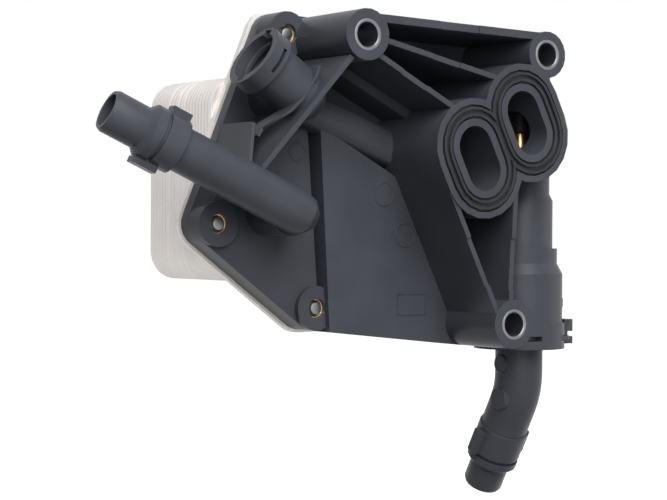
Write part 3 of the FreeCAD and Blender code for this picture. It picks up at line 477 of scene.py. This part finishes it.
@dataclass
class SubAssembly:
    """Pieces that belong together; holds the materials and the ways to make pieces."""

    materials: dict[Slot, bpy.types.Material]

    def lathe(
        self, bm: bmesh.types.BMesh, profile: Profile, base: Point, along: Point, steps: int = TURN_STEPS
    ) -> None:
        """Spin a closed profile round an axis.

        Args:
            bm: The mesh to add to.
            profile: Points of radius and distance along the axis, in millimetres.
            base: Where the axis starts.
            along: Direction of the axis.
            steps: Steps of the full turn.
        """
        turn = Matrix.Translation(Vector(base)) @ Vector(along).to_track_quat("Z", "Y").to_matrix().to_4x4()
        verts = [bm.verts.new(turn @ Vector((radius, 0.0, way))) for radius, way in profile]
        edges = []
        for k, vert in enumerate(verts):
            if profile[k][0] > 0 or profile[k - 1][0] > 0:
                edges.append(bm.edges.new((verts[k - 1], vert)))
        axis = turn.to_3x3() @ Vector((0.0, 0.0, 1.0))
        bmesh.ops.spin(
            bm, geom=verts + edges, cent=Vector(base), axis=axis, angle=math.tau, steps=steps, use_merge=True
        )

    def smooth(self, bm: bmesh.types.BMesh, sharp: float) -> None:
        """Merge doubles, shade every face smoothly and mark the sharp edges.

        Args:
            bm: The mesh.
            sharp: Angle in degrees from which an edge stays sharp.
        """
        bmesh.ops.remove_doubles(bm, verts=bm.verts, dist=MERGE)
        for face in bm.faces:
            face.smooth = True
        for edge in bm.edges:
            edge.smooth = len(edge.link_faces) == 2 and edge.calc_face_angle(math.pi) < math.radians(sharp)

    def finish(
        self, name: str, bm: bmesh.types.BMesh, slot: Slot, body: Body,
        nodes: Iterable[str] = (), sharp: float = SHARP,
    ) -> bpy.types.Object:
        """Turn a mesh in metres into a piece that rides on a body.

        Args:
            name: The piece's name.
            bm: The mesh, freed here.
            slot: Its material slot.
            body: The body it rides on.
            nodes: Nodes of the frame that it replaces.
            sharp: Angle from which an edge stays sharp.

        Returns:
            The new object.
        """
        self.smooth(bm, sharp)
        mesh = bpy.data.meshes.new(name)
        bm.to_mesh(mesh)
        bm.free()
        piece = bpy.data.objects.new(name, mesh)
        bpy.context.scene.collection.objects.link(piece)
        mesh.materials.append(self.materials[slot])
        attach(piece, body.value)
        if nodes:
            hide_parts(*nodes)
        log.info("%s: %d faces, slot %s", name, len(mesh.polygons), slot.value)
        return piece

    def spun(
        self, name: str, parts: Iterable[tuple[Profile, Point, Point]], slot: Slot, body: Body,
        nodes: Iterable[str], steps: int = TURN_STEPS,
    ) -> bpy.types.Object:
        """One piece of several turned parts.

        Args:
            name: The piece's name.
            parts: Profile, base and direction of each part, in millimetres.
            slot: Its material slot.
            body: The body it rides on.
            nodes: Nodes that it replaces.
            steps: Steps of a full turn.

        Returns:
            The new object.
        """
        bm = bmesh.new()
        for profile, base, along in parts:
            self.lathe(bm, profile, base, along, steps)
        to_metres(bm)
        bmesh.ops.remove_doubles(bm, verts=bm.verts, dist=MERGE)
        bmesh.ops.recalc_face_normals(bm, faces=bm.faces)
        return self.finish(name, bm, slot, body, nodes)

    def copy_of(self, node: str) -> bmesh.types.BMesh:
        """A merged copy of a node's mesh.

        Args:
            node: Name of the node.

        Returns:
            The copy.
        """
        bm = bmesh.new()
        bm.from_mesh(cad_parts[node].data)
        bmesh.ops.remove_doubles(bm, verts=bm.verts, dist=MERGE)
        return bm

    def adopt(
        self, node: str, name: str, slot: Slot, body: Body, sharp: float = SHARP, bevel_mm: float = 0.0
    ) -> bpy.types.Object:
        """A piece with a node's own shape, shaded smoothly.

        Args:
            node: Name of the node that it stands for.
            name: The piece's name.
            slot: Its material slot.
            body: The body it rides on.
            sharp: Angle from which an edge stays sharp.
            bevel_mm: Width of a bevel on the sharp edges, 0 for none.

        Returns:
            The new object.
        """
        bm = self.copy_of(node)
        if bevel_mm:
            bmesh.ops.dissolve_limit(bm, angle_limit=math.radians(FLAT), verts=bm.verts, edges=bm.edges)
            steep = math.radians(BEVEL_FROM)
            joined = [edge for edge in bm.edges if len(edge.link_faces) == 2]
            edges = [edge for edge in joined if edge.calc_face_angle(0.0) > steep]
            bmesh.ops.bevel(
                bm, geom=edges, offset=bevel_mm * MM, offset_type="OFFSET", segments=2, profile=0.5,
                affect="EDGES", material=-1, clamp_overlap=True,
            )
        return self.finish(name, bm, slot, body, [node], sharp)

    def paint(self, node: str, slot: Slot) -> None:
        """Give a node that keeps its shape its finish.

        Args:
            node: Name of the node.
            slot: Its material slot.
        """
        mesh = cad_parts[node].data
        mesh.materials.clear()
        mesh.materials.append(self.materials[slot])
        log.info("%s: painted, slot %s", node, slot.value)


@dataclass
class Housing(SubAssembly):
    """The moulded housing with the small marks of its mould."""

    marks: tuple[tuple[float, float, float, float], ...] = (
        (47.0, 37.0, -85.5, 5.4), (35.1, 37.0, -67.1, 5.2), (-7.8, 43.0, -49.0, 4.0),
    )
    mark_foot: float = 0.5
    mark_crest: float = 0.35
    mark_height: float = 0.3
    mark_sunk: float = 0.4
    panel_y: float = 37.0
    stamp: tuple[float, float, float, float] = (42.6, -122.3, 58.9, -112.5)
    stamp_rim: float = 0.5
    stamp_sunk: float = 0.1
    stamp_thick: float = 0.35
    socket_mouth: Point = (-42.4, 24.0, -9.6)
    socket_into: Point = (0.83098, 0.0, -0.5563)
    socket_bore_r: float = 11.4
    socket_outer_r: float = 15.4
    socket_bore_margin: float = 0.2
    socket_start: float = 0.5
    socket_length: float = 13.3
    socket_shorter: float = 0.38
    stop_span: tuple[float, float] = (4.4, 6.6)
    stop_lip: float = 0.4
    stop_reach: float = 1.9
    stop_sunk: float = 0.1
    spigot_root: Point = (-24.0, 18.0, -76.0)
    spigot_out: Point = (-0.89302, 0.12706, 0.4317)
    spigot_limit_r: float = 15.4
    collar_span: tuple[float, float] = (57.0, 68.6)
    collar_slide: float = 3.6
    lug_r: float = 11.0
    lug_end: float = 82.0
    ring_end: float = 76.0
    ring_play: float = 0.05
    web_edge: tuple[Point, ...] = (
        (-40.6, 23.4, -43.6), (-38.3, 24.0, -40.3), (-36.6, 20.0, -37.9), (-33.8, 16.5, -35.4),
        (-30.3, 14.0, -32.8), (-28.0, 13.0, -30.3), (-24.8, 12.5, -27.2), (-21.5, 12.2, -21.9),
        (-18.6, 12.0, -17.6), (-17.1, 12.0, -13.2),
    )
    web_depth: float = 10.0
    web_thick: float = 1.3

    def build(self) -> None:
        """Make the housing and its marks."""
        self.moulding()
        self.mould_marks()
        self.blank_stamp()
        self.socket_ring()
        self.socket_web()

    def moulding(self) -> None:
        """The housing with its hose ends set as they are on the real one."""
        bm = self.copy_of("housing")
        root, out = Vector(self.spigot_root), Vector(self.spigot_out)
        mouth, into = Vector(self.socket_mouth), Vector(self.socket_into)
        for vert in bm.verts:
            way, off = self.about(vert.co / MM, root, out)
            on_collar = self.collar_span[0] < way < self.collar_span[1] and off < self.spigot_limit_r
            on_lug = self.collar_span[1] <= way < self.lug_end and self.lug_r < off < self.spigot_limit_r
            if on_collar or on_lug and abs(way - self.ring_end) > self.ring_play:
                vert.co += out * self.collar_slide * MM
            way, off = self.about(vert.co / MM, mouth, into)
            in_wall = self.socket_bore_r - self.socket_bore_margin < off < self.socket_outer_r
            if in_wall and self.socket_start < way < self.socket_length:
                vert.co -= into * way * self.socket_shorter * MM
        self.finish("housing_moulding", bm, Slot.BLACK_PLASTIC, Body.ASSEMBLY, ["housing"])

    @staticmethod
    def about(point: Vector, base: Vector, along: Vector) -> tuple[float, float]:
        """Where a point lies about an axis.

        Args:
            point: The point.
            base: Where the axis starts.
            along: Unit vector of the axis.

        Returns:
            Its way along the axis and its distance from it.
        """
        way = (point - base).dot(along)
        return way, (point - base - along * way).length

    def socket_web(self) -> None:
        """The thin web that runs from the small rib round the socket's neck."""
        bm = bmesh.new()
        verts = [bm.verts.new(point) for point in self.web_edge]
        edges = [bm.edges.new(pair) for pair in zip(verts, verts[1:])]
        moved = verts_of(bmesh.ops.extrude_edge_only(bm, edges=edges))
        bmesh.ops.translate(bm, vec=(0.0, self.web_depth, 0.0), verts=moved)
        bmesh.ops.recalc_face_normals(bm, faces=bm.faces)
        bmesh.ops.solidify(bm, geom=bm.faces[:], thickness=self.web_thick)
        to_metres(bm)
        bmesh.ops.recalc_face_normals(bm, faces=bm.faces)
        self.finish("socket_web", bm, Slot.BLACK_PLASTIC, Body.ASSEMBLY)

    def blank_stamp(self) -> None:
        """The low frame of an empty stamp field on the main panel."""
        x0, z0, x1, z1 = self.stamp
        bm = bmesh.new()
        add_upright_rectangle(bm, x1 - x0, z1 - z0)
        middle = ((x0 + x1) / 2, self.panel_y + self.stamp_sunk, (z0 + z1) / 2)
        bmesh.ops.translate(bm, vec=middle, verts=bm.verts)
        inset = bmesh.ops.inset_region(
            bm, faces=bm.faces[:], thickness=self.stamp_rim, depth=0.0, use_boundary=True
        )
        field = [face for face in bm.faces if face not in inset["faces"]]
        bmesh.ops.delete(bm, geom=field, context="FACES_ONLY")
        moved = verts_of(bmesh.ops.extrude_face_region(bm, geom=bm.faces[:]))
        bmesh.ops.translate(bm, vec=(0.0, -self.stamp_thick, 0.0), verts=moved)
        to_metres(bm)
        bmesh.ops.recalc_face_normals(bm, faces=bm.faces)
        self.finish("housing_stamp_frame", bm, Slot.BLACK_PLASTIC, Body.ASSEMBLY)

    def socket_ring(self) -> None:
        """The stop ring inside the hose socket, with a softened lip."""
        outer, inner = self.socket_bore_r + self.stop_sunk, self.socket_bore_r - self.stop_reach
        (near, far), lip = self.stop_span, self.stop_lip
        ring = [(inner, near + lip), (inner + lip, near), (outer, near), (outer, far), (inner, far)]
        part = (ring, self.socket_mouth, self.socket_into)
        self.spun("socket_stop_ring", [part], Slot.BLACK_PLASTIC, Body.ASSEMBLY, [])

    def mould_marks(self) -> None:
        """Low rings that the mould's inserts leave on the panels."""
        foot, crest, top, sunk = self.mark_foot, self.mark_crest, -self.mark_height, self.mark_sunk
        parts = []
        for x, y, z, radius in self.marks:
            rim = [
                (radius - foot, 0.0), (radius - crest, top), (radius + crest, top),
                (radius + foot, 0.0), (radius + foot, sunk), (radius - foot, sunk),
            ]
            parts.append((rim, (x, y, z), BACK))
        self.spun("housing_insert_marks", parts, Slot.BLACK_PLASTIC, Body.ASSEMBLY, [])


@dataclass
class MountHardware(SubAssembly):
    """Steel sleeves, brass inserts and cooler screws."""

    sleeve_points: tuple[tuple[float, float], ...] = ((0.0, 0.0), (99.5, -3.2), (81.2, -125.6))
    sleeve_r: float = 7.0
    sleeve_play: float = 0.06
    sleeve_edge: float = 0.45
    sleeve_soft: float = 0.15
    sleeve_steps: int = 72
    bore_r: float = 5.35
    sleeve_front: float = -0.2
    sleeve_back: float = 56.0
    screw_points: tuple[tuple[float, float], ...] = SCREW_POINTS
    insert_front: float = 41.9
    insert_r: float = 4.4
    insert_length: float = 8.1
    insert_play: float = 0.06
    insert_edge: float = 0.2
    insert_steps: int = 48
    sink_width: float = 0.8
    sink_depth: float = 0.9
    screw_r: float = 3.0
    screw_tip: float = 40.6
    screw_steps: int = 36
    tip_profile: Profile = ((0.6, 0.0), (0.15, 0.2))
    head_front: float = 59.0
    head_r: float = 4.9
    head_height: float = 3.4
    head_edge: float = 0.5
    thread_depth: float = 0.3
    thread_start: float = 0.5
    thread_turns: int = 6
    thread_pitch: float = 1.0
    crest_span: tuple[float, float] = (0.4, 0.6)
    thread_foot: float = 0.95

    def build(self) -> None:
        """Make the sleeves, inserts and screws."""
        self.sleeves()
        self.inserts()
        self.screws()

    def sleeves(self) -> None:
        """Sleeves with a rounded outer rim and a chamfered bore."""
        edge, soft = self.sleeve_edge, self.sleeve_soft
        front, back, outer = self.sleeve_front, self.sleeve_back, self.sleeve_r - self.sleeve_play
        profile = [
            (self.bore_r, front + edge),
            (self.bore_r + edge, front),
            (self.sleeve_r - edge, front),
            (self.sleeve_r - soft, front + soft),
            (outer, front + edge),
            (outer, back),
            (self.bore_r, back),
        ]
        parts = [(profile, (x, 0.0, z), BACK) for x, z in self.sleeve_points]
        steps = self.sleeve_steps
        self.spun("mount_sleeve_tubes", parts, Slot.ZINC_STEEL, Body.ASSEMBLY, ["mount_sleeves"], steps)

    def inserts(self) -> None:
        """Brass inserts with a countersunk mouth."""
        inner, outer, edge = self.screw_r + self.insert_play, self.insert_r, self.insert_edge
        low, high = self.insert_front, self.insert_front + self.insert_length
        profile = [
            (inner, low + self.sink_depth), (inner + self.sink_width, low), (outer - edge, low),
            (outer, low + edge), (outer, high), (inner, high),
        ]
        parts = [(profile, (x, 0.0, z), BACK) for x, z in self.screw_points]
        steps = self.insert_steps
        self.spun("brass_insert_rings", parts, Slot.BRASS, Body.ASSEMBLY, ["brass_inserts"], steps)

    def screws(self) -> None:
        """Screws with a rounded tip, a few turns of thread and a flat head."""
        tip, root, crest = self.screw_tip, self.screw_r - self.thread_depth, self.screw_r
        profile = [(0.0, tip)]
        profile += [(root - inward, tip + up) for inward, up in self.tip_profile]
        rise, fall = self.crest_span
        for turn in range(self.thread_turns):
            at = tip + self.thread_start + turn * self.thread_pitch
            profile += [(root, at), (crest, at + rise), (crest, at + fall), (root, at + self.thread_foot)]
        head, end = self.head_front, self.head_front + self.head_height
        profile += [
            (crest, head), (self.head_r, head), (self.head_r, end - self.head_edge),
            (self.head_r - self.head_edge, end), (0.0, end),
        ]
        parts = [(profile, (x, 0.0, z), BACK) for x, z in self.screw_points]
        steps = self.screw_steps
        self.spun("cooler_screw_set", parts, Slot.ZINC_STEEL, Body.ASSEMBLY, ["cooler_screws"], steps)


@dataclass
class Gasket(SubAssembly):
    """The rubber gasket round both ports."""

    lip_round: float = 0.3
    lip_sharp: float = 35.0

    def build(self) -> None:
        """Make the gasket with rounded lips and paint the hidden rings."""
        name = "port_gasket_moulding"
        self.adopt("port_gasket", name, Slot.RUBBER, Body.ASSEMBLY, self.lip_sharp, self.lip_round)
        for node in ("coolant_seal_lower", "coolant_seal_upper", "thermostat_seal", "elbow_seal"):
            self.paint(node, Slot.RUBBER)


@dataclass
class PlateCooler(SubAssembly):
    """The brazed stack with its base and end plates and oil ports."""

    corner_r: float = 13.0
    corner_steps: int = 9
    dish_count: int = 20
    dish_inset: float = 0.7
    wall_share: float = 0.74
    lip_share: float = 0.2
    corner_sharp: float = 42.0
    dish_sharp: float = 30.0
    lug_points: tuple[tuple[float, float], ...] = SCREW_POINTS[:3]
    lug_span: tuple[float, float] = (8.8, 10.0)
    edge_stand: float = 2.0

    def build(self) -> None:
        """Make the plates and ports."""
        self.dishes()
        self.base()
        self.adopt("cooler_end_plate", "cooler_back", Slot.ALUMINIUM, Body.ASSEMBLY, self.corner_sharp)
        self.adopt("oil_ports", "oil_port_turnings", Slot.ALUMINIUM, Body.ASSEMBLY)

    def base(self) -> None:
        """The base plate, whose edge stands out past the housing at the left and below."""
        bm = self.copy_of("cooler_base_plate")
        ceiling = CAD_BOX[1].z
        for vert in bm.verts:
            for x, z in self.lug_points:
                out = Vector((vert.co.x - x * MM, 0.0, vert.co.z - z * MM))
                if self.lug_span[0] < out.length / MM < self.lug_span[1]:
                    vert.co += out.normalized() * self.edge_stand * MM
                    vert.co.z = min(vert.co.z, ceiling)
                    break
        self.finish("cooler_base", bm, Slot.ALUMINIUM, Body.ASSEMBLY, ["cooler_base_plate"])

    def dishes(self) -> None:
        """The stack, drawn back dish by dish from a rounded outline, each dish with its lip."""
        low, high = (Vector(corner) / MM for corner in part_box("cooler_plate_stack"))
        centre, size = (low + high) / 2, high - low
        bm = bmesh.new()
        inset = 2 * self.dish_inset
        add_upright_rectangle(bm, size.x - inset, size.z - inset)
        bmesh.ops.bevel(
            bm, geom=bm.verts[:], offset=self.corner_r, offset_type="OFFSET", segments=self.corner_steps,
            profile=0.5, affect="VERTICES", material=-1,
        )
        bmesh.ops.translate(bm, vec=(centre.x, low.y, centre.z), verts=bm.verts)
        pitch = size.y / self.dish_count
        wide = Vector((size.x / (size.x - inset), 1.0, size.z / (size.z - inset)))
        narrow = Vector((1.0 / wide.x, 1.0, 1.0 / wide.z))
        level = Vector((1.0, 1.0, 1.0))
        last = 1.0 - self.wall_share - self.lip_share
        about_centre = Matrix.Translation(-centre)
        face = list(bm.faces)
        for _ in range(self.dish_count):
            for share, grow in ((self.wall_share, wide), (self.lip_share, level), (last, narrow)):
                drawn = bmesh.ops.extrude_face_region(bm, geom=face)
                face = [item for item in drawn["geom"] if isinstance(item, bmesh.types.BMFace)]
                verts = verts_of(drawn)
                bmesh.ops.translate(bm, vec=(0.0, share * pitch, 0.0), verts=verts)
                bmesh.ops.scale(bm, vec=grow, space=about_centre, verts=verts)
        to_metres(bm)
        bmesh.ops.recalc_face_normals(bm, faces=bm.faces)
        nodes = ["cooler_plate_stack"]
        self.finish("cooler_dishes", bm, Slot.ALUMINIUM, Body.ASSEMBLY, nodes, self.dish_sharp)


@dataclass
class Thermostat(SubAssembly):
    """The wax thermostat; its brass stem shows through the right port."""

    axis: tuple[float, float] = (111.7, 34.0)
    capsule_r: float = 5.55
    capsule_top: float = -71.0
    shoulder: Profile = ((0.0, -1.2), (0.5, -0.3), (1.4, 0.4))
    stem_r: float = 3.0
    stem_rise: float = 2.0
    stem_top: float = -37.0
    head_r: float = 4.4
    head_length: float = 9.0
    head_taper: float = 0.6
    head_rim: Profile = ((0.0, -1.0), (0.3, -0.3), (1.0, 0.0))
    base: float = -99.2
    piston_r: float = 1.96
    piston_depth: float = 16.0
    steps: int = 48

    def build(self) -> None:
        """Make the capsule and paint the steel pieces."""
        self.capsule()
        for node in ("thermostat_cage", "thermostat_piston", "thermostat_valve_disc", "thermostat_spring"):
            self.paint(node, Slot.PRESSED_STEEL)

    def capsule(self) -> None:
        """Capsule and stem with turned shoulders and a rounded head."""
        top, neck = self.stem_top, self.capsule_top
        head, deep = top - self.head_length, self.base + self.piston_depth
        profile = [(self.piston_r, self.base), (self.capsule_r, self.base)]
        profile += [(self.capsule_r - inward, neck + up) for inward, up in self.shoulder]
        profile += [(self.stem_r, neck + self.stem_rise), (self.stem_r, head - self.head_taper)]
        profile += [(self.head_r, head)]
        profile += [(self.head_r - inward, top + up) for inward, up in self.head_rim]
        profile += [(0.0, top), (0.0, deep), (self.piston_r, deep)]
        part = (profile, (*self.axis, 0.0), (0.0, 0.0, 1.0))
        nodes = ["thermostat_capsule"]
        self.spun("thermostat_element", [part], Slot.BRASS, Body.THERMOSTAT, nodes, self.steps)


@dataclass
class Outlet(SubAssembly):
    """The outlet elbow and the clip that holds it."""

    clip_round: float = 0.35
    discs: tuple[tuple[Point, float], ...] = (((100.6, 33.7, -145.9), 4.5), ((100.6, 35.2, -162.4), 5.5))
    disc_height: float = 0.7
    disc_edge: float = 0.4
    disc_sunk: float = 2.5
    disc_steps: int = 40

    def build(self) -> None:
        """Make the elbow, its mould marks and the clip."""
        parts = []
        top, edge, sunk = -self.disc_height, self.disc_edge, self.disc_sunk
        for base, radius in self.discs:
            rim = [(0.0, top), (radius - edge, top), (radius, top + edge), (radius, sunk), (0.0, sunk)]
            parts.append((rim, base, (1.0, 0.0, 0.0)))
        self.spun("elbow_gate_discs", parts, Slot.BLACK_PLASTIC, Body.ASSEMBLY, [], self.disc_steps)
        self.adopt("outlet_elbow", "outlet_elbow_moulding", Slot.BLACK_PLASTIC, Body.ASSEMBLY)
        self.adopt("elbow_clip", "elbow_clip_moulding", Slot.CLIP_PLASTIC, Body.CLIP, SHARP, self.clip_round)


@dataclass
class Studio:
    """Floor, world, lamps and the camera of the photograph."""

    floor_drop: float = 0.05
    floor_size: float = 9.0
    floor_tones: tuple[Colour, Colour] = ((0.80, 0.80, 0.80), (0.82, 0.82, 0.82))
    bounce: Colour = (0.1, 0.1, 0.1)
    world_level: float = 0.07
    glow_near: float = 0.7
    glow_far: float = 0.95
    glow_span: tuple[float, float] = (0.6, 1.6)
    yaw: float = 33.85
    pitch: float = -0.6
    sensor: float = 36.0
    photo_width: float = 667.0
    focal_pixels: float = 1950.0
    near_clip: float = 0.01
    eye: Point = (-475.65, -683.63, -84.91)

    def build(self) -> None:
        """Make everything round the object."""
        self.world()
        self.floor()
        self.lamp("key_panel", offset=(-0.35, -1.1, 1.0), size=1.3, power=37.0)
        self.lamp("front_panel", offset=(-0.6, -1.35, 0.1), size=1.0, power=9.0)
        self.lamp("side_panel", offset=(1.3, -0.5, 0.2), size=0.8, power=2.0)
        self.camera()

    @staticmethod
    def seen(graph: Graph) -> Value:
        """Mask of rays that should meet the white background.

        Args:
            graph: The graph to add to.

        Returns:
            1 for camera, glossy and transmission rays.
        """
        path = graph.node("ShaderNodeLightPath", {}, {})
        names = ("Is Camera Ray", "Is Glossy Ray", "Is Transmission Ray")
        camera, glossy, transmission = (Value(graph, path.outputs[name]) for name in names)
        total = camera + glossy + transmission
        return graph.value("ShaderNodeMath", {"operation": "MINIMUM"}, {0: total, 1: 1.0})

    def world(self) -> None:
        """White to the eye and in reflections, a plain level as light."""
        world = bpy.data.worlds.new("studio")
        world.use_nodes = True
        bpy.context.scene.world = world
        graph = Graph(world.node_tree)
        seen = self.seen(graph)
        strength = seen + (1.0 - seen) * self.world_level
        back = graph.node("ShaderNodeBackground", {}, {"Color": WHITE, "Strength": strength})
        out = graph.node("ShaderNodeOutputWorld", {}, {})
        graph.tree.links.new(back.outputs[0], out.inputs[0])

    def floor(self) -> None:
        """A pale floor below the object that keeps its shadow."""
        low, high = CAD_BOX
        bm = bmesh.new()
        bmesh.ops.create_grid(bm, x_segments=1, y_segments=1, size=self.floor_size)
        centre = (low + high) / 2
        bmesh.ops.translate(bm, vec=(centre.x, centre.y, low.z - self.floor_drop), verts=bm.verts)
        mesh = bpy.data.meshes.new("studio_floor")
        bm.to_mesh(mesh)
        bm.free()
        floor = bpy.data.objects.new("studio_floor", mesh)
        bpy.context.scene.collection.objects.link(floor)
        mesh.materials.append(self.floor_paint())

    def floor_paint(self) -> bpy.types.Material:
        """Pale paint lifted to white where the eye sees it, with the shadow kept.

        Returns:
            The material.
        """
        paint = bpy.data.materials.new("studio_floor_paint")
        paint.use_nodes = True
        graph = Graph(paint.node_tree)
        shader = graph.node("ShaderNodeBsdfPrincipled", {}, {"Roughness": 0.9, "Specular IOR Level": 0.1})
        tone = graph.mix(graph.noise(scale=3.0, detail=2.0), *self.floor_tones)
        graph.tree.links.new(tone, shader.inputs["Base Color"])
        away = graph.value("ShaderNodeVectorMath", {"operation": "LENGTH"}, {0: graph.place()}, "Value")
        spread = graph.sharpen(away, *self.glow_span)
        strength = spread * (self.glow_far - self.glow_near) + self.glow_near
        glow = graph.node("ShaderNodeEmission", {}, {"Color": WHITE, "Strength": strength})
        both = graph.node("ShaderNodeAddShader", {}, {0: shader.outputs[0], 1: glow.outputs[0]})
        dim = graph.node("ShaderNodeBsdfDiffuse", {}, {"Color": rgba(self.bounce)})
        sockets = {0: self.seen(graph), 1: dim.outputs[0], 2: both.outputs[0]}
        shown = graph.node("ShaderNodeMixShader", {}, sockets)
        out = graph.node("ShaderNodeOutputMaterial", {}, {})
        graph.tree.links.new(shown.outputs[0], out.inputs[0])
        return paint

    def lamp(self, name: str, offset: Point, size: float, power: float) -> None:
        """A soft square lamp that faces the object.

        Args:
            name: The lamp's name.
            offset: Its place from the object's middle, in metres.
            size: Side in metres.
            power: Power in watts.
        """
        light = bpy.data.lights.new(name, "AREA")
        light.size = size
        light.energy = power
        lamp = bpy.data.objects.new(name, light)
        low, high = CAD_BOX
        centre = (low + high) / 2
        turn = Vector(offset).to_track_quat("Z", "Y").to_matrix().to_4x4()
        lamp.matrix_world = Matrix.Translation(centre + Vector(offset)) @ turn
        bpy.context.scene.collection.objects.link(lamp)

    def camera(self) -> None:
        """The camera that took the photograph."""
        yaw, pitch = math.radians(self.yaw), math.radians(self.pitch)
        back = Vector((math.sin(yaw) * math.cos(pitch), math.sin(pitch), math.cos(yaw) * math.cos(pitch)))
        right = Vector((math.cos(yaw), 0.0, -math.sin(yaw)))
        right = (right - back * right.dot(back)).normalized()
        turn = Matrix((right, -back, back.cross(right)))
        data = bpy.data.cameras.new("photo_camera")
        data.sensor_width = self.sensor
        data.lens = self.focal_pixels / self.photo_width * self.sensor
        data.clip_start = self.near_clip
        camera = bpy.data.objects.new("photo_camera", data)
        camera.matrix_world = Matrix.Translation(Vector(self.eye) * MM) @ turn.to_4x4()
        bpy.context.scene.collection.objects.link(camera)
        bpy.context.scene.camera = camera


def finishes() -> dict[Slot, bpy.types.Material]:
    """Build every finish once.

    Returns:
        Material of each slot.
    """
    recipes = {
        Slot.BLACK_PLASTIC: MouldedPlastic(
            "black_plastic_grain", (0.046, 0.049, 0.0595), roughness=0.36, specular=0.13
        ),
        Slot.CLIP_PLASTIC: MouldedPlastic(
            "clip_plastic_satin", (0.026, 0.0275, 0.033), roughness=0.3, specular=0.3, grain_mm=0.012
        ),
        Slot.RUBBER: MouldedRubber("seal_rubber", (0.019, 0.0195, 0.0225), roughness=0.44, specular=0.18),
        Slot.ZINC_STEEL: WorkedMetal("zinc_plate", (0.17, 0.175, 0.19), 0.4, 1.0),
        Slot.PRESSED_STEEL: WorkedMetal("pressed_sheet", (0.52, 0.52, 0.54), 0.34, 1.0),
        Slot.BRASS: WorkedMetal("turned_brass", (0.74, 0.55, 0.27), 0.26, 1.0, line_stretch=(1.0, 1.0, 6.0)),
        Slot.ALUMINIUM: BrazedAluminium("brazed_plate", (0.70, 0.665, 0.64), 0.45, 0.55),
    }
    return {slot: recipe.build() for slot, recipe in recipes.items()}


def main() -> None:
    """Build every piece, then the studio."""
    logging.basicConfig(level=logging.INFO, format="%(name)s %(message)s")
    bpy.context.scene.view_settings.view_transform = "Standard"
    materials = finishes()
    for assembly in (Housing, MountHardware, Gasket, PlateCooler, Thermostat, Outlet):
        assembly(materials).build()
    Studio().build()


if __name__ == "__main__":
    main()
